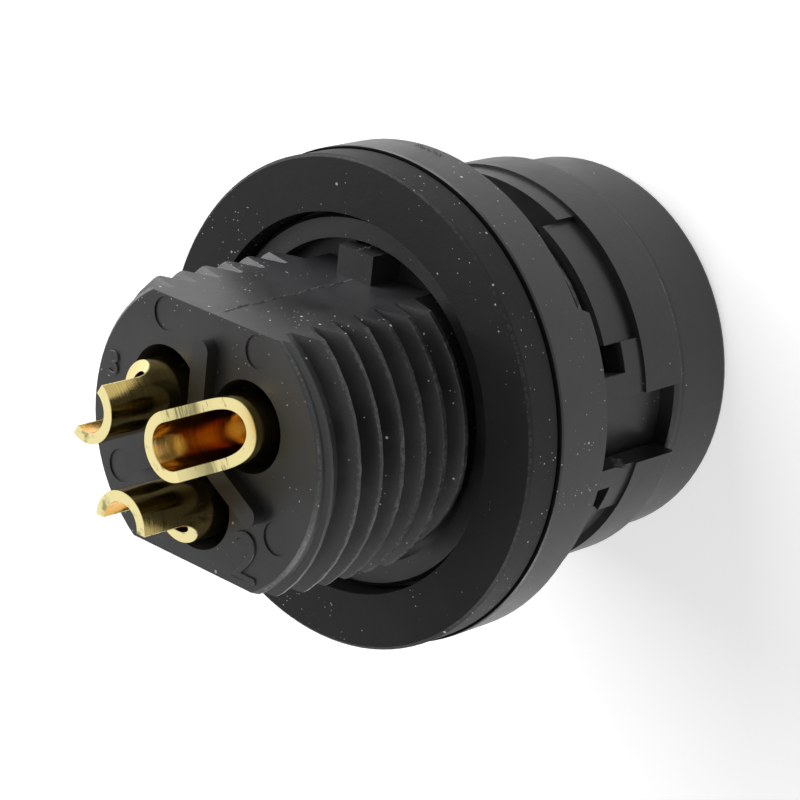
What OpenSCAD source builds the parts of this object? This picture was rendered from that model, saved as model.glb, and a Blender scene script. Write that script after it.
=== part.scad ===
// Panel-mount push-pull circular connector, three contacts, solder cups behind.
// Millimetres. +Z runs up the axis from the mating face, which rests on z = 0,
// to the solder cups. The two flats of the threaded shank face +Y and -Y.

/* [Front collar] */
// Outside diameter of the front collar
collar_d = 19.2; // [18.6:0.1:20]
// Height of the front collar
collar_h = 4.05; // [3:0.05:6]
// Thickness of the collar's lip over the end of the barrel
lip_h = 1.2; // [0.8:0.1:2]
// Rounding of the collar's front edge
collar_edge = 0.4; // [0.1:0.1:0.8]

/* [Socket] */
// Outside diameter of the barrel
barrel_d = 17.2; // [16.6:0.1:17.6]
// Bore of the socket
socket_d = 15; // [14.2:0.1:15.4]
// Depth of the socket from the mating face
socket_depth = 11.2; // [9.5:0.1:12.5]
// Depth of the latch groove into the barrel's wall
groove_depth = 0.3; // [0.1:0.1:0.4]
// Height of the latch groove
groove_h = 1.4; // [0.8:0.1:2]
// How far the keys stand in from the socket's wall
key_h = 0.7; // [0.4:0.1:1]
// Width of the main key
main_key_w = 2.2; // [1.4:0.1:3]
// Width of the two small keys
small_key_w = 1.1; // [0.6:0.1:1.6]
// Thickness of the seal on the socket's floor
seal_h = 1; // [0.6:0.1:1.6]
// Radial width of the seal
seal_w = 1.5; // [1:0.1:2]

/* [Coupling ring] */
// Outside diameter of the ring's front band
ring_d = 20.2; // [19.8:0.1:21]
// Height of the front band
band_h = 2.95; // [2:0.05:4]
// Outside diameter of the raised blocks behind the band
block_d = 19.9; // [19.6:0.1:20]
// Height of the blocks behind the band
block_h = 1.3; // [0.8:0.1:2]
// Outside diameter of the four lower arcs between the blocks
arc_d = 19.4; // [19:0.1:19.6]
// Height of the lower arcs behind the band
arc_h = 2.2; // [1.6:0.1:2.6]
// Half of the angle that each block covers
block_half_angle = 25.5; // [20:0.5:32]
// Width of the two windows
window_w = 3.58; // [2.6:0.02:4.4]
// Height of the legs behind the band
leg_h = 3.85; // [3.2:0.05:4.2]
// Half of the angle from the outer side of one leg to that of its pair
leg_half_angle = 17; // [15:0.5:20]
// Height of the bridge that joins a pair of legs
bridge_h = 0.7; // [0.4:0.1:1]
// Travel of the ring towards the flange
ring_travel = 1.6; // [0.6:0.1:1.6]

/* [Ring spring] */
// Thickness of the flat wire
wire_t = 0.2; // [0.12:0.02:0.25]
// Radial width of the flat wire
wire_w = 0.5; // [0.3:0.05:0.55]
// Turns of the wave spring
spring_turns = 3; // [2:1:4]
// Waves in one turn
spring_waves = 3.5; // [2.5:1:5.5]

/* [Flange and gasket] */
// Diameter of the flange
flange_d = 24.1; // [23:0.1:26]
// Thickness of the flange
flange_h = 2.75; // [2:0.05:4]
// Clear space between the mating face and the flange
flange_z = 12.86; // [12.8:0.02:14]
// Thickness of the guard arcs in front of the flange
guard_w = 1.2; // [0.9:0.05:1.2]
// Height of the guard arcs
guard_h = 1.22; // [0.6:0.02:1.6]
// Half of the width of a guard arc, at the foot of its ramps
guard_half_w = 6.89; // [5:0.01:7.5]
// How far the panel gasket's edge stands in from the flange's
gasket_inset = 0.13; // [0.05:0.01:0.7]
// Thickness of the panel gasket
gasket_h = 1.95; // [1:0.05:2.5]
// Clearance of the gasket's hole around the centring ring
gasket_fit = 0.2; // [0.1:0.05:0.6]
// Outside diameter of the centring ring inside the gasket
centre_d = 18; // [17.4:0.1:18.1]
// Inside diameter of the centring ring
centre_hole_d = 15.7; // [15.2:0.1:16.4]
// Height of the centring ring
centre_h = 1.1; // [0.5:0.05:1.1]

/* [Threaded shank] */
// Outside diameter of the thread
thread_d = 16; // [15.6:0.1:16.4]
// Pitch of the thread
pitch = 1.41; // [1.3:0.01:1.6]
// Depth of the thread
thread_depth = 0.92; // [0.6:0.02:1]
// Width of the thread's crest
crest_w = 0.2; // [0.1:0.02:0.22]
// Length of the thread's steep flank, on the end face's side
rear_flank = 0.42; // [0.3:0.02:0.5]
// Length of the thread's shallow flank, on the flange's side
front_flank = 0.68; // [0.5:0.02:0.7]
// Length of the shank behind the flange
shank_h = 10.88; // [9:0.02:14]
// Distance across the two flats at the end face
across_flats = 12.1; // [11.6:0.1:12.8]
// Draft of the flats, in degrees
flat_draft = 1; // [0:0.1:1.5]
// Diameter of the shank's end face
end_d = 14.8; // [14.4:0.1:15]
// Width of the locating key on the +Y flat
locating_key_w = 2.2; // [1.4:0.1:3]
// Height of the locating key off the flat
locating_key_h = 1.4; // [0.8:0.1:1.6]
// Length of the locating key behind the flange
locating_key_l = 1.9; // [1.2:0.1:3]

/* [End face] */
// Diameter of the wells around the solder cups
well_d = 4.3; // [4:0.1:4.6]
// Depth of the wells
well_depth = 4.5; // [3:0.1:6]
// Width of the three ribs between the wells
rib_w = 1; // [0.6:0.1:1.2]
// Length of a rib from the axis
rib_l = 4.9; // [3.5:0.1:5.4]
// Height of the ribs
rib_h = 0.65; // [0.2:0.05:1]
// Diameter of the ejector-pin marks
ejector_d = 1.6; // [1:0.1:2]
// Depth of the ejector-pin marks
ejector_depth = 0.08; // [0.04:0.02:0.2]
// Distance of the ejector-pin marks from the axis
ejector_r = 5.95; // [5.4:0.05:6]

/* [Contacts] */
// Number of contacts
contact_count = 3; // [3:1:3]
// Distance of a contact from the axis
contact_r = 3.1; // [3:0.05:3.4]
// Outside diameter of a solder cup
cup_d = 3.2; // [2.8:0.1:3.4]
// Bore of a solder cup
cup_bore_d = 2.2; // [1.6:0.1:2.4]
// Depth of a solder cup's bore
cup_depth = 6.6; // [5:0.1:8]
// How far a solder cup stands out of the end face
cup_out = 4.67; // [4:0.01:6]
// Length of the open side of a solder cup
scoop_l = 3.7; // [2.6:0.1:3.9]
// Diameter of the collar that seats a contact in its well
seat_d = 4.1; // [3.8:0.1:4.2]
// Height of that collar
seat_h = 1.2; // [0.6:0.1:2]
// Diameter of a contact's shaft in the insulating web
shaft_d = 2.8; // [2.6:0.1:3]
// Diameter of a contact pin
pin_d = 2; // [1.6:0.1:2.1]
// Depth of the pins' tips below the mating face
pin_setback = 4.5; // [4.5:0.1:6]

/* [Hidden] */
$fn = 96;

cut = 1;              // how far a cutting tool runs past a face
fit = 0.02;           // clearance of pressed pieces
bore_fit = 0.05;      // clearance of a contact in the web
ring_fit = 0.2;       // running clearance of the ring on the barrel
ring_gap = 0.06;      // gap between the ring and the collar at rest
guard_gap = 0.3;      // clearance of the ring's legs inside the guard arcs
chamfer = 0.18;       // broken edges of the mouldings
leg_wall_gap = 0.15;  // clearance between the spring and the legs

barrel_r = barrel_d / 2;
socket_r = socket_d / 2;
ring_bore_r = barrel_r + ring_fit;
ring_z = collar_h + ring_gap;
band_z = ring_z + band_h;
block_z = band_z + block_h;
arc_z = band_z + arc_h;
leg_z = band_z + leg_h;
block_angles = [0, 90, 180, 270];
window_angles = [0, 180];

spring_r = barrel_r + 0.13;               // inside radius of the spring
spring_gap = 0.03;                        // gap at each end of the spring
spring_z = arc_z + spring_gap;
spring_h = flange_z - spring_gap - spring_z;
leg_bore_r = spring_r + wire_w + leg_wall_gap;

guard_bore_r = block_d / 2 + guard_gap;
guard_r = guard_bore_r + guard_w;
guard_ramp = 0.82;                        // length of a guard arc's ramp
seat_z = flange_z + flange_h;             // the flange's face under the gasket
end_z = seat_z + shank_h;                 // the shank's end face
root_r = thread_d / 2 - thread_depth;
gasket_r = flange_d / 2 - gasket_inset;
gasket_hole_r = centre_d / 2 + gasket_fit;

key_angles = [90, 210, 330];
key_z = lip_h + 1;
groove_z = 3.2;

well_z = end_z - well_depth;
cup_z = end_z + cup_out;
contact_angles = [30, 150, 270];
rib_angles = [90, 210, 330];
ejector_angles = [60, 120, 210, 330];

// Tube between two radii and two heights
module tube(outer_r, inner_r, z0, z1) {
    translate([0, 0, z0])
        difference() {
            cylinder(r = outer_r, h = z1 - z0);
            translate([0, 0, -cut]) cylinder(r = inner_r, h = z1 - z0 + 2 * cut);
        }
}

// Wedge around the axis between two angles, less than 90 degrees apart
module wedge(a0, a1, reach, z0, z1) {
    mid = (a0 + a1) / 2;
    translate([0, 0, z0])
        linear_extrude(z1 - z0)
            polygon([[0, 0], for (a = [a0, mid, a1]) 2 * reach * [cos(a), sin(a)]]);
}

// Part of a tube between two angles
module tube_sector(outer_r, inner_r, a0, a1, z0, z1) {
    intersection() {
        tube(outer_r, inner_r, z0, z1);
        wedge(a0, a1, outer_r, z0 - cut, z1 + cut);
    }
}

// ---- Thread ---------------------------------------------------------------

steps_per_turn = 40;
thread_z = seat_z + 1.56;                 // middle of the thread's first crest
thread_turns = floor((end_z - 0.25 - thread_z) / pitch * steps_per_turn) / steps_per_turn;
thread_phase = 285;                       // angle at which the thread begins
lead_in = 0.5;                            // slope of the cone that the crests follow to the end
sunk = 0.1;                               // how far the ridge reaches into the core

// Radius of the crest: it rises over a fifth of a turn and follows the lead-in cone
function crest_r(i) =
    let (z = thread_z + pitch * i / steps_per_turn,
         rise = min(1, 0.1 + i / (steps_per_turn / 5)))
    min(root_r + thread_depth * rise, end_d / 2 + (end_z - z) * lead_in);

// Corners of the ridge's section, one ring of four points at each step
function thread_ring(i) =
    let (a = thread_phase + 360 * i / steps_per_turn,
         z = thread_z + pitch * i / steps_per_turn,
         top = crest_r(i),
         height = (top - root_r + sunk) / (thread_depth + sunk))
    [for (p = [[root_r - sunk, -crest_w / 2 - front_flank * height], [top, -crest_w / 2],
               [top, crest_w / 2], [root_r - sunk, crest_w / 2 + rear_flank * height]])
        [p.x * cos(a), p.x * sin(a), z + p.y]];

module thread_ridge() {
    last = thread_turns * steps_per_turn;
    polyhedron(
        points = [for (i = [0:last]) each thread_ring(i)],
        faces = concat(
            [[3, 2, 1, 0], [for (k = [0:3]) 4 * last + k]],
            [for (i = [0:last - 1], k = [0:3])
                let (n = (k + 1) % 4)
                each [[4 * i + k, 4 * i + n, 4 * i + 4 + n],
                      [4 * i + k, 4 * i + 4 + n, 4 * i + 4 + k]]]),
        convexity = 20);
}

// Distance of a flat from the axis at height z
function flat_y(z) = across_flats / 2 + (end_z - z) * tan(flat_draft);

// Threaded shank with its two flats
module shank() {
    land_z = end_z - 0.9;                 // plain land under the end face
    intersection() {
        union() {
            translate([0, 0, seat_z - cut]) cylinder(r = root_r, h = shank_h + cut - 0.5);
            rotate_extrude()
                polygon([[0, land_z], [root_r, land_z], [end_d / 2, land_z + 0.3],
                         [end_d / 2, end_z - chamfer], [end_d / 2 - chamfer, end_z], [0, end_z]]);
            thread_ridge();
        }
        rotate([90, 0, 90])
            translate([0, 0, -thread_d])
                linear_extrude(2 * thread_d)
                    polygon([[-flat_y(seat_z - 2 * cut), seat_z - 2 * cut],
                             [flat_y(seat_z - 2 * cut), seat_z - 2 * cut],
                             [flat_y(end_z + cut), end_z + cut], [-flat_y(end_z + cut), end_z + cut]]);
    }
}

// ---- Shell ----------------------------------------------------------------

// Barrel, flange and centring ring, turned about the axis
module shell_body() {
    flange_r = flange_d / 2;
    centre_r = centre_d / 2;
    hole_r = centre_hole_d / 2;
    rotate_extrude()
        polygon([
            [socket_r + chamfer, lip_h], [barrel_r - chamfer, lip_h],
            [barrel_r, lip_h + chamfer], [barrel_r, flange_z],
            [flange_r - chamfer, flange_z], [flange_r, flange_z + chamfer],
            [flange_r, seat_z - chamfer], [flange_r - chamfer, seat_z],
            [centre_r, seat_z], [centre_r, seat_z + centre_h - chamfer],
            [centre_r - chamfer, seat_z + centre_h], [hole_r, seat_z + centre_h],
            [hole_r, seat_z], [0, seat_z], [0, socket_depth], [socket_r, socket_depth],
            [socket_r, groove_z + groove_h], [socket_r + groove_depth, groove_z + groove_h],
            [socket_r + groove_depth, groove_z], [socket_r, groove_z],
            [socket_r, lip_h + chamfer]]);
}

// Two arcs that guard the ring's legs, with a ramp at each end
module guard_arcs() {
    top = flange_z + cut / 2;
    intersection() {
        tube(guard_r, guard_bore_r, flange_z - guard_h, top);
        rotate([90, 0, 90])
            translate([0, 0, -2 * guard_r])
                linear_extrude(4 * guard_r)
                    polygon([[-guard_half_w, top], [-guard_half_w, flange_z],
                             [-guard_half_w + guard_ramp, flange_z - guard_h - cut],
                             [guard_half_w - guard_ramp, flange_z - guard_h - cut],
                             [guard_half_w, flange_z], [guard_half_w, top]]);
    }
}

// Keys inside the socket: one wide and two narrow
module socket_keys() {
    for (i = [0:len(key_angles) - 1])
        rotate([0, 0, key_angles[i]]) {
            w = i == 0 ? main_key_w : small_key_w;
            translate([socket_r - key_h, -w / 2, key_z])
                cube([key_h + groove_depth, w, socket_depth - seal_h - 0.1 - key_z]);
        }
}

module end_ribs() {
    for (a = rib_angles)
        rotate([0, 0, a]) translate([0, 0, end_z - cut]) {
            translate([0, -rib_w / 2, 0]) cube([rib_l - rib_w / 2, rib_w, rib_h + cut]);
            translate([rib_l - rib_w / 2, 0, 0]) cylinder(d = rib_w, h = rib_h + cut, $fn = 48);
        }
    translate([0, 0, end_z - cut]) cylinder(d = rib_w, h = rib_h + cut, $fn = 48);
}

// Key that stands on the +Y flat, next to the flange
module locating_key() {
    y = flat_y(seat_z);
    translate([-locating_key_w / 2, y - cut, seat_z - cut])
        cube([locating_key_w, locating_key_h + cut, locating_key_l + cut]);
}

module contact_holes() {
    for (a = contact_angles)
        rotate([0, 0, a]) translate([contact_r, 0, 0]) {
            translate([0, 0, well_z]) cylinder(d = well_d, h = well_depth + rib_h + cut);
            translate([0, 0, socket_depth - cut])
                cylinder(r = shaft_d / 2 + bore_fit, h = well_z - socket_depth + 2 * cut);
        }
}

module ejector_marks() {
    for (a = ejector_angles)
        rotate([0, 0, a]) translate([ejector_r, 0, end_z - ejector_depth])
            cylinder(d = ejector_d, h = ejector_depth + cut);
}

module shell() {
    color("#26272a")
    difference() {
        union() {
            shell_body();
            shank();
            guard_arcs();
            socket_keys();
            end_ribs();
            locating_key();
        }
        contact_holes();
        ejector_marks();
    }
}

module panel_gasket() {
    edge = 0.15;
    color("#1b1b1c")
    rotate_extrude()
        polygon([[gasket_hole_r, seat_z], [gasket_r - edge, seat_z], [gasket_r, seat_z + edge],
                 [gasket_r, seat_z + gasket_h - edge], [gasket_r - edge, seat_z + gasket_h],
                 [gasket_hole_r, seat_z + gasket_h]]);
}

// ---- Coupling ring and its spring -----------------------------------------

// Four lower arcs, cut back to the blocks' height where a block stands
module ring_arcs() {
    difference() {
        tube(arc_d / 2, ring_bore_r, band_z - cut / 2, arc_z);
        for (a = block_angles)
            wedge(a - block_half_angle, a + block_half_angle, ring_d, block_z, arc_z + cut);
    }
}

// A pair of legs and the bridge that joins them, around angle a
module ring_legs(a) {
    tube_sector(block_d / 2, ring_bore_r, a - leg_half_angle, a + leg_half_angle,
                band_z, arc_z);
    tube_sector(block_d / 2, leg_bore_r, a - leg_half_angle, a + leg_half_angle,
                band_z, leg_z);
}

module ring_window(a) {
    rotate([0, 0, a]) translate([0, -window_w / 2, ring_z - cut])
        cube([ring_d, window_w, leg_z - bridge_h - ring_z + cut]);
}

module coupling_ring() {
    color("#2b2c2f")
    difference() {
        union() {
            rotate_extrude()
                polygon([[ring_bore_r, ring_z], [ring_d / 2 - chamfer, ring_z],
                         [ring_d / 2, ring_z + chamfer], [ring_d / 2, band_z],
                         [ring_bore_r, band_z]]);
            ring_arcs();
            for (a = block_angles)
                tube_sector(block_d / 2, ring_bore_r, a - block_half_angle,
                            a + block_half_angle, band_z - cut / 2, block_z);
            for (a = window_angles) ring_legs(a);
        }
        for (a = window_angles) ring_window(a);
    }
}

// Flat-wire wave spring, crest to crest
module ring_spring() {
    steps = 56;                           // steps in one turn
    last = spring_turns * steps;
    wave = 0.26 * spring_h / spring_turns;
    rise = spring_h - wire_t - 2 * wave;
    function section(i) =
        let (a = 360 * i / steps,
             z = spring_z + wave + rise * i / last + wave * cos(spring_waves * a))
        [for (p = [[0, 0], [wire_w, 0], [wire_w, wire_t], [0, wire_t]])
            [(spring_r + p.x) * cos(a), (spring_r + p.x) * sin(a), z + p.y]];
    color("#4a4b4e")
    polyhedron(
        points = [for (i = [0:last]) each section(i)],
        faces = concat(
            [[0, 1, 2, 3], [for (k = [3:-1:0]) 4 * last + k]],
            [for (i = [0:last - 1], k = [0:3])
                let (n = (k + 1) % 4)
                each [[4 * i + k, 4 * i + 4 + n, 4 * i + n],
                      [4 * i + k, 4 * i + 4 + k, 4 * i + 4 + n]]]),
        convexity = 20);
}

// ---- Front collar and socket seal -----------------------------------------

module front_collar() {
    outer_r = collar_d / 2;
    hold_r = barrel_r + fit;
    color("#2b2c2f")
    rotate_extrude()
        polygon(concat(
            [[socket_r, chamfer], [socket_r + chamfer, 0]],
            [for (a = [-90:15:0]) [outer_r - collar_edge + collar_edge * cos(a),
                                   collar_edge + collar_edge * sin(a)]],
            [[outer_r, collar_h - chamfer], [outer_r - chamfer, collar_h],
             [hold_r, collar_h], [hold_r, lip_h], [socket_r, lip_h]]));
}

module socket_seal() {
    color("#1b1b1c")
    tube(socket_r - bore_fit, socket_r - bore_fit - seal_w, socket_depth - seal_h, socket_depth);
}

// ---- Contacts -------------------------------------------------------------

// Turned contact on its own axis: pin in front, solder cup behind
module contact_body() {
    pin_r = pin_d / 2;
    tip = pin_r * 0.9;                    // length of the pin's rounded tip
    cup_r = cup_d / 2;
    seat_z1 = well_z + seat_h;
    rotate_extrude()
        polygon(concat(
            [for (a = [0:15:90]) [pin_r * sin(a), pin_setback + tip - tip * cos(a)]],
            [[pin_r, socket_depth], [shaft_d / 2, socket_depth], [shaft_d / 2, well_z],
             [seat_d / 2, well_z], [seat_d / 2, seat_z1], [cup_r, seat_z1], [cup_r, cup_z],
             [cup_bore_d / 2, cup_z], [cup_bore_d / 2, cup_z - cup_depth],
             [0, cup_z - cup_depth - 0.5]]));
}

// Opening in the cup's outer side: down to the middle, with a round foot
module scoop() {
    foot_r = cup_d / 2;
    foot_z = cup_z - scoop_l + foot_r;
    translate([0, -cup_d, foot_z]) cube([cup_d, 2 * cup_d, scoop_l + cut]);
    translate([foot_r, cup_d, foot_z]) rotate([90, 0, 0]) cylinder(r = foot_r, h = 2 * cup_d);
}

module contact(i) {
    color("#c9a24a")
    rotate([0, 0, contact_angles[i]]) translate([contact_r, 0, 0])
        difference() {
            contact_body();
            scoop();
        }
}

module contact_1() { contact(0); }
module contact_2() { contact(1); }
module contact_3() { contact(2); }

shell();
panel_gasket();
coupling_ring();
ring_spring();
front_collar();
socket_seal();
contact_1();
contact_2();
contact_3();
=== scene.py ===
"""Looks of a panel-mount push-pull circular connector.

Each group of pieces has an operator that gives it its finish or models it, and the
sizes and colours that a user would change are in the scene's connector settings.
"""

import math

import bpy
from bpy.props import FloatProperty, FloatVectorProperty, PointerProperty
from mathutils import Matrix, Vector


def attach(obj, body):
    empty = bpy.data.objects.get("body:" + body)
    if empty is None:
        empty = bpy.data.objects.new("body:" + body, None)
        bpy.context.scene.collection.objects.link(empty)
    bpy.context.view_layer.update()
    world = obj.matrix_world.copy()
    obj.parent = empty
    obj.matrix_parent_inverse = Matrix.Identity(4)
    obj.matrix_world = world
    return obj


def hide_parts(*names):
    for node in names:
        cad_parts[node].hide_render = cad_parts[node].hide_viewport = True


bl_info = {
    "name": "Push-pull connector finish",
    "version": (1, 0, 0),
    "blender": (4, 5, 0),
    "location": "3D View > Sidebar > Connector",
    "description": "Finishes, moulding marks and stage of a panel-mount circular connector",
    "category": "Object",
}

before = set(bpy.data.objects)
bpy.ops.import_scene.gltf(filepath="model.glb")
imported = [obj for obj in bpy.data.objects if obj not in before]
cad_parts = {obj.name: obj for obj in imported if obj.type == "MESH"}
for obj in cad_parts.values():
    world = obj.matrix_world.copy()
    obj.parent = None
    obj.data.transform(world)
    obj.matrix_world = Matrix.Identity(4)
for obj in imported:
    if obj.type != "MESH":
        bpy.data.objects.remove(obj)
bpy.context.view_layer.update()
MM = 0.001

# Places on the connector, in mm: heights above the mating face and distances from the axis
SEAT_Z = 15.61
GASKET_R = 11.92
END_Z = 26.49
CUP_FOOT_Z = 29.06
CUP_END_Z = 31.16
FLAT_Y = 6.05
FLAT_DRAFT = math.radians(1)
CONTACT_PLACE_R = 3.1
CUP_R = 1.6
CONTACT_ANGLES = {1: 30, 2: 150, 3: 270}

# near black, for painted shade in joints, under overhangs and on the ribs
PAINTED_SHADE_BLACK = (0.002, 0.002, 0.002)


# ---- Settings -------------------------------------------------------------

def colour(name, description, default):
    return FloatVectorProperty(name=name, description=description, default=default,
                               size=3, subtype="COLOR", min=0.0, max=1.0)


class MouldingSettings(bpy.types.PropertyGroup):
    """Finish of the black mouldings and of the rubber"""
    housing: colour("Housing", "Colour of the threaded housing", (0.0155, 0.016, 0.0168))
    ring: colour("Coupling ring", "Colour of the coupling ring", (0.0145, 0.0148, 0.0155))
    collar: colour("Front collar", "Colour of the front collar", (0.015, 0.0153, 0.016))
    rubber: colour("Rubber", "Colour of the gasket and the seal", (0.0085, 0.0085, 0.0088))
    # lighter scuffs on edges and crests, partly wear and partly a painted highlight
    scuff_and_highlight: colour("Scuffs and highlights", "Colour of lighter edges and crests: scuffs and painted highlight", (0.16, 0.16, 0.165))
    dust: colour("Dust", "Colour of the dust", (0.55, 0.55, 0.54))
    roughness: FloatProperty(name="Roughness", description="Roughness of the mouldings",
                             default=0.38, min=0.0, max=1.0, subtype="FACTOR")
    grain: FloatProperty(name="Grain", description="Width of the mould's grain",
                         default=0.00011, min=0.00001, max=0.001, unit="LENGTH", precision=6)


class MetalSettings(bpy.types.PropertyGroup):
    """Finish of the contacts and of the spring"""
    gold: colour("Gold", "Colour of the plated contacts", (0.50, 0.38, 0.13))
    # the orange inside the cups is a painted reflection of the gold in itself
    inside: colour("Inside", "Colour inside the solder cups", (0.8, 0.46, 0.12))
    # pale sawn rims: bare sawn metal, their paleness partly a painted highlight
    cut: colour("Cut faces and highlight", "Colour of the sawn rims of the solder cups", (0.84, 0.74, 0.36))
    steel: colour("Steel", "Colour of the spring's wire", (0.30, 0.30, 0.31))
    roughness: FloatProperty(name="Roughness", description="Roughness of the plating",
                             default=0.1, min=0.0, max=1.0, subtype="FACTOR")


class MarkSettings(bpy.types.PropertyGroup):
    """Sizes of the marks that moulding leaves"""
    digit_size: FloatProperty(name="Digit size", description="Type size of the contact numbers",
                              default=0.0034, min=0.001, max=0.005, unit="LENGTH",
                              precision=5)
    digit_height: FloatProperty(name="Digit height", description="How far a number stands up",
                                default=0.00007, min=0.00001, max=0.0003, unit="LENGTH",
                                precision=6)
    flash_width: FloatProperty(name="Flash width", description="Width of the parting line",
                               default=0.00018, min=0.00002, max=0.0005, unit="LENGTH",
                               precision=6)
    flash_height: FloatProperty(name="Flash height", description="Height of the parting line",
                                default=0.0001, min=0.00001, max=0.0003, unit="LENGTH",
                                precision=6)


class StageSettings(bpy.types.PropertyGroup):
    """Camera, lamps and floor"""
    camera_place: FloatVectorProperty(name="Camera", description="Place of the camera", size=3,
                                      default=(0.092292, 0.0498909, 0.1191507),
                                      subtype="TRANSLATION", precision=6)
    camera_turn: FloatVectorProperty(name="Camera turn", description="Rotation of the camera",
                                     size=3, subtype="EULER", precision=5,
                                     default=(math.radians(-14.328261), math.radians(42.936221),
                                              math.radians(8.129944)))
    lens: FloatProperty(name="Lens", description="Focal length in millimetres",
                        default=139.1737, min=20, max=400)
    sky: FloatProperty(name="Sky", description="Strength of the even light all round",
                       default=0.22, min=0.0, max=2.0)
    lamps: FloatProperty(name="Lamps", description="Strength of the soft lamps",
                         default=1.0, min=0.0, max=5.0)
    floor: colour("Floor", "Colour of the floor", (0.82, 0.82, 0.82))


class ConnectorSettings(bpy.types.PropertyGroup):
    """All settings of the connector"""
    moulding: PointerProperty(type=MouldingSettings, name="Mouldings")
    metal: PointerProperty(type=MetalSettings, name="Metals")
    marks: PointerProperty(type=MarkSettings, name="Moulding marks")
    stage: PointerProperty(type=StageSettings, name="Stage")


# ---- Node tools -----------------------------------------------------------

def rgb(c):
    return (c[0], c[1], c[2], 1.0)


class Tree:
    """Adds nodes to a tree and joins them"""

    def __init__(self, tree):
        self.tree = tree

    def fill(self, node, values):
        """Joins or sets each input, by name or number"""
        for key, value in values.items():
            if hasattr(value, "links"):
                self.tree.links.new(value, node.inputs[key])
            else:
                node.inputs[key].default_value = value
        return node

    def add(self, kind, values=None, **settings):
        node = self.tree.nodes.new("ShaderNode" + kind)
        for key, value in settings.items():
            setattr(node, key, value)
        return self.fill(node, values or {})

    def math(self, operation, a, b=0.0):
        return self.add("Math", {0: a, 1: b}, operation=operation).outputs[0]

    def vector(self, operation, a, b):
        return self.add("VectorMath", {0: a, 1: b}, operation=operation).outputs

    def ramp(self, value, low, high, out_low=0.0, out_high=1.0):
        return self.add("MapRange", {"Value": value, "From Min": low, "From Max": high,
                                     "To Min": out_low, "To Max": out_high},
                        interpolation_type="SMOOTHSTEP").outputs[0]

    def mix(self, factor, a, b):
        node = self.add("Mix", data_type="RGBA", blend_type="MIX", clamp_factor=True)
        return self.fill(node, {0: factor, 6: a, 7: b}).outputs[2]

    def noise(self, vector, scale, detail=2.0, roughness=0.5):
        return self.add("TexNoise", {"Vector": vector, "Scale": scale, "Detail": detail,
                                     "Roughness": roughness}).outputs["Fac"]

    def use(self, group, values):
        return self.fill(self.add("Group", node_tree=group), values).outputs


def new_group(name, inputs, outputs):
    """A shader node group with named sockets; returns it with its tree, inputs and outputs"""
    group = bpy.data.node_groups.new(name, "ShaderNodeTree")
    for socket, kind, value in inputs:
        made = group.interface.new_socket(socket, in_out="INPUT", socket_type="NodeSocket" + kind)
        if value is not None:
            made.default_value = value
    for socket, kind in outputs:
        group.interface.new_socket(socket, in_out="OUTPUT", socket_type="NodeSocket" + kind)
    return (group, Tree(group), group.nodes.new("NodeGroupInput").outputs,
            group.nodes.new("NodeGroupOutput").inputs)


def grain_group():
    """Fine mould grain with slow waves under it"""
    group, t, given, out = new_group(
        "Mould grain", [("Vector", "Vector", None), ("Grain", "Float", 0.0001)],
        [("Height", "Float"), ("Patch", "Float")])
    fine = t.noise(given["Vector"], t.math("DIVIDE", 1.0, given["Grain"]), 3.0, 0.6)
    wide = t.noise(given["Vector"], 900.0, 2.0, 0.5)
    slow = t.noise(given["Vector"], 260.0, 3.0, 0.55)
    t.tree.links.new(t.math("ADD", fine, t.math("MULTIPLY", wide, 1.6)), out["Height"])
    t.tree.links.new(slow, out["Patch"])
    return group


def dust_group():
    """Round specks and short fibres, more where the patch noise is high"""
    group, t, given, out = new_group(
        "Dust specks", [("Vector", "Vector", None), ("Amount", "Float", 0.2),
                        ("Spacing", "Float", 0.0006)], [("Mask", "Float")])
    patch = t.ramp(t.noise(given["Vector"], 190.0, 3.0), 0.42, 0.66, 0.12, 2.0)
    masks = []
    for stretch, size, share in (((1, 1, 1), 0.19, 1.0), ((1.9, 2.3, 2.1), 0.2, 1.4),
                                 ((0.5, 2.6, 1.7), 0.12, 0.5)):
        vector = t.vector("MULTIPLY", given["Vector"], stretch)[0]
        cells = t.add("TexVoronoi", {"Vector": vector,
                                     "Scale": t.math("DIVIDE", 1.0, given["Spacing"])})
        pick = t.add("SeparateColor", {"Color": cells.outputs["Color"]}).outputs
        chosen = t.math("LESS_THAN", pick[1],
                        t.math("MULTIPLY", t.math("MULTIPLY", given["Amount"], share), patch))
        radius = t.math("MULTIPLY", t.math("POWER", pick[0], 2.2), size)
        inside = t.math("GREATER_THAN", radius, cells.outputs["Distance"])
        masks.append(t.math("MULTIPLY", chosen, inside))
    both = t.math("MAXIMUM", masks[0], masks[1])
    t.tree.links.new(t.math("MAXIMUM", both, masks[2]), out["Mask"])
    return group


def wear_and_highlight_group():
    """Breaks a smooth edge mask into scuffs that lighten the edge, partly as wear and partly as a
    painted highlight
    """
    group, t, given, out = new_group(
        "Rubbed edge and painted highlight", [("Vector", "Vector", None), ("Edge", "Float", 0.0)],
        [("Mask", "Float")])
    fine = t.ramp(t.noise(given["Vector"], 5200.0, 4.0, 0.7), 0.42, 0.62)
    wide = t.ramp(t.noise(given["Vector"], 420.0, 2.0), 0.36, 0.62, 0.25, 1.0)
    scuff_and_highlight = t.math("MULTIPLY", fine, wide)
    t.tree.links.new(t.math("MULTIPLY", given["Edge"], scuff_and_highlight), out["Mask"])
    return group


GROUPS = {}


def shared(build):
    """A shared group, built at its first use"""
    if build not in GROUPS:
        GROUPS[build] = build()
    return GROUPS[build]


def new_material(name):
    """A material with its tree, its Principled shader and its Object coordinates"""
    material = bpy.data.materials.new(name)
    material.use_nodes = True
    tree = Tree(material.node_tree)
    vector = tree.add("TexCoord").outputs["Object"]
    return material, tree, material.node_tree.nodes["Principled BSDF"], vector


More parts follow.
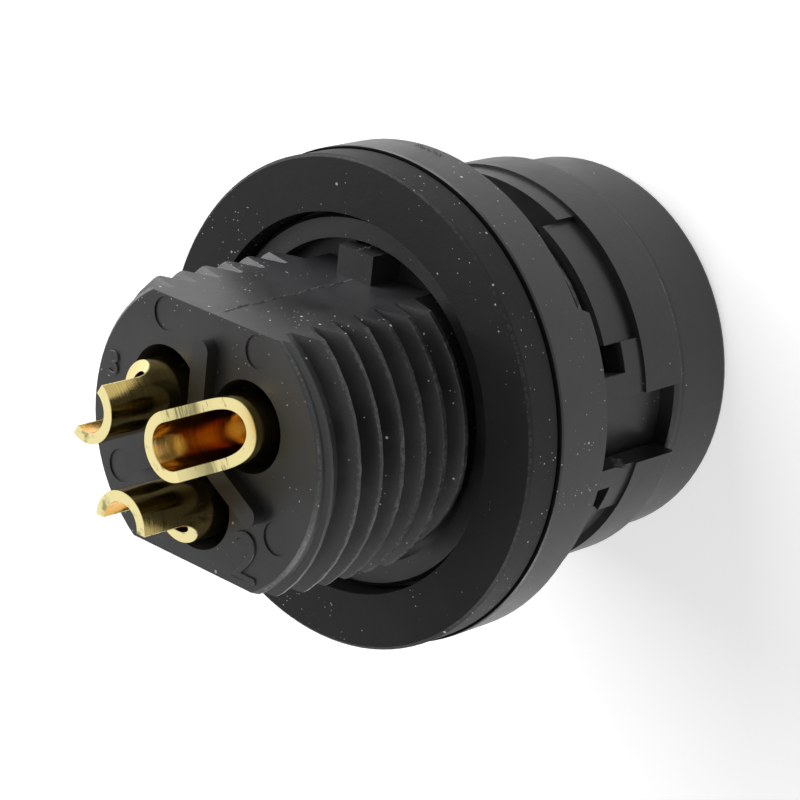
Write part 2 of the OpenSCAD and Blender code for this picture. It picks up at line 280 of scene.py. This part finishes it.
def shade(t, shader, tone, rough, normal=None):
    """Joins what changes over the surface to the shader"""
    t.tree.links.new(tone, shader.inputs["Base Color"])
    t.tree.links.new(rough, shader.inputs["Roughness"])
    if normal:
        t.tree.links.new(normal, shader.inputs["Normal"])


def axis_parts(t, vector):
    """Distance from the connector's axis, and height along it"""
    parts = t.add("SeparateXYZ", {"Vector": vector}).outputs
    flat = t.add("CombineXYZ", {"X": parts[0], "Y": parts[1]}).outputs[0]
    return t.add("VectorMath", {0: flat}, operation="LENGTH").outputs["Value"], parts


def band(t, value, low, high, soft):
    """1 between low and high, with soft ends"""
    return t.math("MULTIPLY", t.ramp(value, low - soft, low),
                  t.ramp(value, high, high + soft, 1.0, 0.0))


def moulded(name, base, roughness, dust=0.1, spacing=0.0005, edges=(), painted_shade_bands=(), bump=0.25,
            light=0.9, shine=0.45):
    """Matte moulding: grain, slow random changes of tone, dust, lighter edges and painted shade.

    An edge band gets lighter scuffs, partly wear and partly a painted highlight, and a shade band
    is darkened as painted shade; each is the band between two distances from the axis and two
    heights in mm, with its amount.
    """
    s = bpy.context.scene.connector.moulding
    material, t, shader, vector = new_material(name)
    grain = t.use(shared(grain_group), {"Vector": vector, "Grain": s.grain})
    specks = t.use(shared(dust_group),
                   {"Vector": vector, "Amount": dust, "Spacing": spacing})["Mask"]
    tone = t.mix(t.ramp(grain["Patch"], 0.3, 0.7), rgb([c * (1 - 0.22 * light) for c in base]),
                 rgb([c * (1 + 0.5 * light) for c in base]))
    radius, parts = axis_parts(t, vector)
    soft = 0.04 * MM

    def masked(bands):
        whole = 0.0
        for r_low, r_high, z_low, z_high, amount in bands:
            mask = t.math("MULTIPLY", band(t, radius, r_low * MM, r_high * MM, soft),
                          band(t, parts[2], z_low * MM, z_high * MM, soft))
            whole = t.math("MAXIMUM", whole, t.math("MULTIPLY", mask, amount))
        return whole

    # edge bands: lighter scuffs, partly wear and partly painted highlight
    wear_and_highlight_band = masked(edges)
    # shade bands: painted shade, mixed towards near black
    tone = t.mix(masked(painted_shade_bands), tone, rgb(PAINTED_SHADE_BLACK))
    wear_and_highlight_mask = t.use(shared(wear_and_highlight_group), {"Vector": vector, "Edge": wear_and_highlight_band})["Mask"]
    tone = t.mix(wear_and_highlight_mask, tone, rgb(s.scuff_and_highlight))
    tone = t.mix(t.math("MULTIPLY", specks, 0.85), tone, rgb(s.dust))
    rough = t.ramp(grain["Patch"], 0.3, 0.7, roughness - 0.05, roughness + 0.07)
    rough = t.math("MAXIMUM", rough, t.math("MULTIPLY", t.math("MAXIMUM", specks, wear_and_highlight_mask), 0.75))
    height = t.math("ADD", grain["Height"], t.math("MULTIPLY", specks, 2.0))
    normal = t.add("Bump", {"Height": height, "Strength": bump, "Distance": 0.03 * MM}).outputs[0]
    shade(t, shader, tone, rough, normal)
    shader.inputs["Specular IOR Level"].default_value = shine
    return material


def contact_metal(name, angle):
    """Gold plate: fine turning lines outside, an orange painted reflection inside the cup, and
    pale sawn rims on the open cup whose paleness is partly a painted highlight
    """
    s = bpy.context.scene.connector.metal
    material, t, shader, vector = new_material(name)
    outward = (math.cos(angle), math.sin(angle), 0.0)
    sideways = (-math.sin(angle), math.cos(angle), 0.0)
    cup_r = CUP_R * MM

    def distance(a, b):
        return t.math("SQRT", t.math("ADD", t.math("MULTIPLY", a, a), t.math("MULTIPLY", b, b)))

    reach = t.vector("DOT_PRODUCT", vector, outward)["Value"]
    x = t.math("SUBTRACT", reach, CONTACT_PLACE_R * MM)
    local = distance(x, t.vector("DOT_PRODUCT", vector, sideways)["Value"])
    parts = t.add("SeparateXYZ", {"Vector": vector}).outputs
    # inside the cup: painted orange, a painted reflection of the gold in itself
    cup_inside_reflection = t.math("MULTIPLY", t.math("LESS_THAN", local, 1.2 * MM),
                   t.math("GREATER_THAN", parts[2], 24.5 * MM))
    above = t.math("SUBTRACT", parts[2], CUP_FOOT_Z * MM)
    # the flat rails of the sawn rim, and its round foot
    rail = t.math("MULTIPLY", t.math("LESS_THAN", t.math("ABSOLUTE", x), 0.035 * MM),
                  t.math("GREATER_THAN", above, -0.05 * MM))
    from_foot = distance(t.math("SUBTRACT", x, cup_r), above)
    off_foot = t.math("ABSOLUTE", t.math("SUBTRACT", from_foot, cup_r))
    foot = t.math("MULTIPLY", t.math("LESS_THAN", off_foot, 0.05 * MM),
                  t.math("LESS_THAN", above, 0.0))
    end = t.math("GREATER_THAN", parts[2], (CUP_END_Z - 0.03) * MM)
    cut = t.math("MAXIMUM", t.math("MAXIMUM", rail, foot), end)
    # turning lines run round the contact, saw marks run across the rims
    lines = t.vector("MULTIPLY", vector, (160.0, 160.0, 16000.0))[0]
    turned = t.noise(lines, 1.0, 4.0, 0.7)
    marks = t.vector("MULTIPLY", vector, (500.0, 500.0, 5200.0))[0]
    sawn = t.noise(marks, 1.0, 4.0, 0.65)
    stain = t.ramp(t.noise(vector, 1300.0, 4.0, 0.6), 0.5, 0.68)
    plate = t.mix(t.ramp(turned, 0.4, 0.6), rgb([c * 0.75 for c in s.gold]), rgb(s.gold))
    plate = t.mix(cup_inside_reflection, plate, rgb(s.inside))
    plate = t.mix(t.math("MULTIPLY", stain, 0.35), plate, (0.30, 0.17, 0.05, 1.0))
    # pale sawn rim, partly bare metal and partly painted highlight, with darker saw-mark stripes
    # across it
    rim = t.mix(t.ramp(sawn, 0.55, 0.64), rgb(s.cut), rgb([c * 0.4 for c in s.cut]))
    rough = t.ramp(turned, 0.3, 0.7, s.roughness - 0.03, s.roughness + 0.08)
    rough = t.math("ADD", rough, t.math("MULTIPLY", cut, 0.2))
    height = t.math("ADD", t.math("MULTIPLY", turned, t.math("SUBTRACT", 1.0, cut)),
                    t.math("MULTIPLY", sawn, cut))
    normal = t.add("Bump", {"Height": height, "Strength": 0.4, "Distance": 0.008 * MM}).outputs[0]
    shade(t, shader, t.mix(cut, plate, rim), rough, normal)
    shader.inputs["Metallic"].default_value = 1.0
    return material


# ---- Mesh tools -----------------------------------------------------------

def seen_directly(t):
    """1 for rays that show the white surroundings, and 0 for rays that only carry light"""
    path = t.add("LightPath").outputs
    return t.math("MAXIMUM", path["Is Camera Ray"],
                  t.math("MAXIMUM", path["Is Glossy Ray"], path["Is Transmission Ray"]))


def deselect():
    if bpy.context.mode != "OBJECT":
        bpy.ops.object.mode_set(mode="OBJECT")
    bpy.ops.object.select_all(action="DESELECT")


def pick(piece):
    deselect()
    piece.select_set(True)
    bpy.context.view_layer.objects.active = piece


def paint(piece, material):
    piece.data.materials.clear()
    piece.data.materials.append(material)


def settle(piece, name, material, body):
    """Names a finished piece, leaves its place in its mesh and hangs it on its body"""
    pick(piece)
    bpy.ops.object.transform_apply(location=True, rotation=True, scale=True)
    piece.name = name
    piece.data.name = name
    paint(piece, material)
    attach(piece, body)
    return piece


def rough_strip(name, start, end, up, width, height, seed, material, body):
    """Low ridge with an uneven top between two points in mm: flash, or a broken-off gate"""
    start, end, up = Vector(start) * MM, Vector(end) * MM, Vector(up).normalized()
    along = end - start
    side = up.cross(along).normalized()
    deselect()
    bpy.ops.mesh.primitive_grid_add(x_subdivisions=64, y_subdivisions=4, size=1.0)
    strip = bpy.context.object
    bpy.ops.object.mode_set(mode="EDIT")
    bpy.ops.mesh.select_all(action="SELECT")
    bpy.ops.mesh.extrude_region_move(TRANSFORM_OT_translate={"value": (0, 0, 1)})
    bpy.ops.mesh.select_all(action="SELECT")
    bpy.ops.mesh.normals_make_consistent(inside=False)
    bpy.ops.object.mode_set(mode="OBJECT")
    for vertex in strip.data.vertices:
        u, v, w = vertex.co.x + 0.5, vertex.co.y * 2, vertex.co.z
        wave = 0.55 + 0.45 * math.sin(u * 37 + seed) * math.sin(u * 91 + seed * 2.3 + v)
        taper = min(1.0, 8 * u, 8 * (1 - u))
        top = height * max(0.12, wave) * (1 - 0.75 * v * v) * taper
        drift = 0.25 * width * math.sin(u * 23 + seed * 1.7)
        lean = width * (0.5 if w < 0.5 else 0.28) * v * (0.7 + 0.3 * wave)
        vertex.co = (start + along * u + side * (lean + drift)
                     + up * (-0.02 * MM if w < 0.5 else top))
    return settle(strip, name, material, body)


def digit(name, text, x, y, size, material):
    """A raised number on the end face"""
    s = bpy.context.scene.connector.marks
    deselect()
    bpy.ops.object.text_add(location=(x * MM, y * MM, END_Z * MM))
    words = bpy.context.object
    words.data.body = text
    words.data.size = size
    words.data.align_x, words.data.align_y = "CENTER", "CENTER"
    words.data.offset = -0.00004
    words.data.extrude = s.digit_height
    words.data.bevel_depth = s.digit_height * 0.5
    words.data.bevel_resolution = 2
    bpy.ops.object.convert(target="MESH")
    return settle(bpy.context.object, name, material, "housing")


# Each lamp's name, direction from the connector, distance and size in metres, and watts
LAMPS = (("Lamp above", (-0.55, 0.95, 0.25), 0.36, 0.24, 1.2),
         ("Lamp behind", (-0.9, 0.35, 0.5), 0.4, 0.24, 1.0),
         ("Lamp below", (0.55, -0.9, 0.05), 0.36, 0.22, 1.7))


# ---- Operators ------------------------------------------------------------

class CONNECTOR_OT_housing(bpy.types.Operator):
    """Gives the one-piece housing its smooth thread, its finish, lighter scuffs on its crests and
    rims that are partly a painted highlight, and painted shade in the flange seam and on the end
    face's ribs
    """
    bl_idname = "connector.housing"
    bl_label = "Housing"

    def execute(self, context):
        s = context.scene.connector.moulding
        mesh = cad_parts["shell"].data.copy()
        housing = bpy.data.objects.new("housing_moulding", mesh)
        context.scene.collection.objects.link(housing)
        pick(housing)
        if mesh.has_custom_normals:
            bpy.ops.mesh.customdata_custom_splitnormals_clear()
        bpy.ops.object.mode_set(mode="EDIT")
        bpy.ops.mesh.select_all(action="SELECT")
        bpy.ops.mesh.remove_doubles(threshold=0.000001)
        bpy.ops.object.mode_set(mode="OBJECT")
        bpy.ops.object.shade_smooth_by_angle(angle=math.radians(28))
        finish = moulded(
            "Housing moulding", s.housing, s.roughness, dust=0.2, spacing=0.0004,
            # edge bands on thread crests, end rim and flange rim: lighter scuffs, partly wear and
            # partly painted highlight
            edges=[(7.93, 8.3, 16.9, 26.2, 0.4), (7.3, 7.46, 26.36, 26.6, 0.6),
                   (11.8, 12.3, 12.8, 12.98, 0.5)],
            # painted shade: the flange side of the gasket seam near black, and the raised ribs on
            # the end face darkened as if their sides were in shade
            painted_shade_bands=[(11.5, 12.3, 15.5, 15.7, 1.0), (0.0, 7.2, 26.54, 27.3, 0.45)])
        settle(housing, "housing_moulding", finish, "housing")
        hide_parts("shell")
        return {"FINISHED"}


class CONNECTOR_OT_gasket(bpy.types.Operator):
    """Finishes the panel gasket as dusty black rubber, with lighter scuffs on its rim that are
    partly a painted highlight and painted shade at its seam with the flange, and the seal in the
    socket
    """
    bl_idname = "connector.gasket"
    bl_label = "Gasket and seal"

    def execute(self, context):
        s = context.scene.connector.moulding
        paint(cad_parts["panel_gasket"],
              moulded("Gasket rubber", s.rubber, 0.6, dust=0.5, spacing=0.0004, bump=0.3,
                      # rim band: lighter scuffs, partly wear and partly painted highlight
                      edges=[(11.76, 12.1, 17.48, 17.7, 0.18)],
                      # painted shade in the seam with the flange
                      painted_shade_bands=[(11.7, 12.1, 15.5, 15.7, 1.0)], light=0.6, shine=0.2))
        paint(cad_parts["socket_seal"],
              moulded("Seal rubber", s.rubber, 0.6, dust=0.03, bump=0.2))
        return {"FINISHED"}


class CONNECTOR_OT_ring(bpy.types.Operator):
    """Finishes the coupling ring, with lighter scuffs on the front edge of its band that are
    partly a painted highlight, painted shade in its joint with the collar, and a gate mark in its
    window
    """
    bl_idname = "connector.ring"
    bl_label = "Coupling ring"

    def execute(self, context):
        s = context.scene.connector.moulding
        finish = moulded(
            "Ring moulding", s.ring, s.roughness, dust=0.04, spacing=0.0005,
            # front edge of the band: lighter scuffs, partly painted highlight; joint with the
            # collar: painted shade
            edges=[(9.85, 10.3, 4.2, 4.36, 0.55)], painted_shade_bands=[(9.0, 10.3, 4.0, 4.17, 1.0)], shine=0.38)
        paint(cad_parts["coupling_ring"], finish)
        rough_strip("window_gate_mark", (8.95, -1.8, 7.5), (9.85, -1.8, 8.3), (0, 1, 0),
                    0.7 * MM, 0.09 * MM, 2.0, finish, "ring")
        return {"FINISHED"}


class CONNECTOR_OT_collar(bpy.types.Operator):
    """Finishes the front collar, with painted shade on its side just under the ring's overhang"""
    bl_idname = "connector.collar"
    bl_label = "Front collar"

    def execute(self, context):
        s = context.scene.connector.moulding
        paint(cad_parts["front_collar"], moulded(
            "Collar moulding", s.collar, s.roughness + 0.02, dust=0.035, spacing=0.0005,
            # painted shade on the collar's side just under the ring's overhang
            painted_shade_bands=[(9.0, 9.8, 3.48, 3.66, 0.85)], shine=0.38))
        return {"FINISHED"}


class CONNECTOR_OT_spring(bpy.types.Operator):
    """Finishes the wave spring as darkened steel wire"""
    bl_idname = "connector.spring"
    bl_label = "Ring spring"

    def execute(self, context):
        s = context.scene.connector.metal
        material, t, shader, vector = new_material("Spring steel")
        streak = t.noise(vector, 2400.0, 3.0)
        shade(t, shader, t.mix(streak, rgb([c * 0.6 for c in s.steel]), rgb(s.steel)),
              t.ramp(streak, 0.3, 0.7, 0.3, 0.5))
        shader.inputs["Metallic"].default_value = 1.0
        paint(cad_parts["ring_spring"], material)
        return {"FINISHED"}


class CONNECTOR_OT_contacts(bpy.types.Operator):
    """Finishes the three turned contacts in gold plate with sawn rims"""
    bl_idname = "connector.contacts"
    bl_label = "Contacts"

    def execute(self, context):
        for number, degrees in CONTACT_ANGLES.items():
            paint(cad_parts[f"contact_{number}"],
                  contact_metal(f"Contact plating {number}", math.radians(degrees)))
        return {"FINISHED"}


class CONNECTOR_OT_marks(bpy.types.Operator):
    """Models the contact numbers, the parting lines, the gate's stub and a near-black torus of
    painted shade in the flange seam
    """
    bl_idname = "connector.marks"
    bl_label = "Moulding marks"

    def execute(self, context):
        s = context.scene.connector
        m = s.marks
        skin = moulded("Mark moulding", s.moulding.housing, s.moulding.roughness, dust=0.04)
        flash = moulded("Flash moulding", [c * 4.5 for c in s.moulding.housing], 0.5, dust=0.05)
        digit("number_3", "3", -6.1, 1.75, m.digit_size * 0.5, skin)
        digit("number_2", "2", 3.4, -4.6, m.digit_size, skin)

        def on_flat(side, z):
            return (0, side * (FLAT_Y + (END_Z - z) * math.tan(FLAT_DRAFT)), z)

        # the line runs down to the key in front, and into the moat behind
        for side, name, foot in ((1, "front", 17.55), (-1, "back", 15.75)):
            rough_strip(f"parting_line_{name}", on_flat(side, END_Z - 0.15), on_flat(side, foot),
                        (0, side, 0), m.flash_width, m.flash_height, 1.0 + side, flash,
                        "housing")
        rough_strip("parting_line_key", (0.05, 7.64, 17.5), (0.05, 7.64, 15.8), (0, 1, 0),
                    m.flash_width, m.flash_height, 4.0, flash, "housing")
        # a near-black torus in the groove between flange and gasket: painted shade, a dark thing
        # where the groove is in shadow
        painted_seam_shade, t, shader, vector = new_material("Painted seam shade")
        grey = t.noise(vector, 1500.0, 3.0)
        t.tree.links.new(t.mix(grey, (0.001, 0.001, 0.001, 1.0), (0.006, 0.006, 0.006, 1.0)),
                         shader.inputs["Base Color"])
        shader.inputs["Roughness"].default_value = 1.0
        shader.inputs["Specular IOR Level"].default_value = 0.05
        deselect()
        bpy.ops.mesh.primitive_torus_add(location=(0, 0, SEAT_Z * MM), major_segments=144,
                                         minor_segments=10, major_radius=(GASKET_R + 0.02) * MM,
                                         minor_radius=0.085 * MM)
        settle(context.object, "painted_seam_shadow", painted_seam_shade, "housing")
        rough_strip("gate_stub", (-0.7, 12.03, 13.45), (1.3, 11.97, 13.6), (0.03, 1, 0),
                    0.34 * MM, 0.12 * MM, 6.5, flash, "housing")
        return {"FINISHED"}


class CONNECTOR_OT_stage(bpy.types.Operator):
    """Sets the floor, the even sky, the soft lamps and the camera"""
    bl_idname = "connector.stage"
    bl_label = "Stage"

    def execute(self, context):
        s = context.scene.connector.stage
        deselect()
        bpy.ops.mesh.primitive_plane_add(size=6.0)
        floor = context.object
        floor.name = "floor"
        material = bpy.data.materials.new("Floor")
        material.use_nodes = True
        t = Tree(material.node_tree)
        shader = material.node_tree.nodes["Principled BSDF"]
        shader.inputs["Base Color"].default_value = rgb(s.floor)
        shader.inputs["Roughness"].default_value = 0.9
        shader.inputs["Specular IOR Level"].default_value = 0.0
        glow = t.add("Emission", {"Color": (1, 1, 1, 1),
                                  "Strength": t.math("MULTIPLY", seen_directly(t), 0.5)})
        both = t.add("AddShader", {0: shader.outputs[0], 1: glow.outputs[0]})
        output = material.node_tree.nodes["Material Output"]
        t.tree.links.new(both.outputs[0], output.inputs["Surface"])
        paint(floor, material)

        world = bpy.data.worlds.new("Sky")
        context.scene.world = world
        world.use_nodes = True
        w = Tree(world.node_tree)
        strength = w.math("ADD", s.sky, w.math("MULTIPLY", seen_directly(w), 1.0 - s.sky))
        background = world.node_tree.nodes["Background"]
        background.inputs["Color"].default_value = (1, 1, 1, 1)
        world.node_tree.links.new(strength, background.inputs["Strength"])

        target = Vector((0, 0, 0.014))
        for name, direction, far, size, power in LAMPS:
            towards = Vector(direction).normalized()
            bpy.ops.object.light_add(type="AREA", location=target + towards * far,
                                     rotation=towards.to_track_quat("Z", "Y").to_euler())
            lamp = context.object
            lamp.name = name
            lamp.data.size = size
            lamp.data.energy = power * s.lamps

        bpy.ops.object.camera_add(location=s.camera_place, rotation=s.camera_turn)
        camera = context.object
        camera.name = "camera"
        camera.data.lens = s.lens
        camera.data.sensor_width = 36.0
        camera.data.clip_start = 0.005
        camera.data.clip_end = 20.0
        context.scene.camera = camera
        context.scene.view_settings.view_transform = "Standard"
        return {"FINISHED"}


class CONNECTOR_PT_panel(bpy.types.Panel):
    """Lists the connector's operators and settings"""
    bl_idname = "CONNECTOR_PT_panel"
    bl_label = "Push-pull connector"
    bl_space_type = "VIEW_3D"
    bl_region_type = "UI"
    bl_category = "Connector"

    def draw(self, context):
        settings = context.scene.connector
        for operator in OPERATORS:
            self.layout.operator(operator.bl_idname)
        for group in (settings.moulding, settings.metal, settings.marks, settings.stage):
            box = self.layout.box()
            for name in group.bl_rna.properties.keys():
                if name not in ("rna_type", "name"):
                    box.prop(group, name)


OPERATORS = (CONNECTOR_OT_housing, CONNECTOR_OT_gasket, CONNECTOR_OT_ring, CONNECTOR_OT_collar,
             CONNECTOR_OT_spring, CONNECTOR_OT_contacts, CONNECTOR_OT_marks, CONNECTOR_OT_stage)
CLASSES = (MouldingSettings, MetalSettings, MarkSettings, StageSettings,
           ConnectorSettings) + OPERATORS + (CONNECTOR_PT_panel,)


def register():
    for cls in CLASSES:
        bpy.utils.register_class(cls)
    bpy.types.Scene.connector = PointerProperty(type=ConnectorSettings)


def unregister():
    del bpy.types.Scene.connector
    for cls in reversed(CLASSES):
        bpy.utils.unregister_class(cls)


def main():
    register()
    bpy.ops.connector.housing()
    bpy.ops.connector.gasket()
    bpy.ops.connector.ring()
    bpy.ops.connector.collar()
    bpy.ops.connector.spring()
    bpy.ops.connector.contacts()
    bpy.ops.connector.marks()
    bpy.ops.connector.stage()


if __name__ == "__main__":
    main()
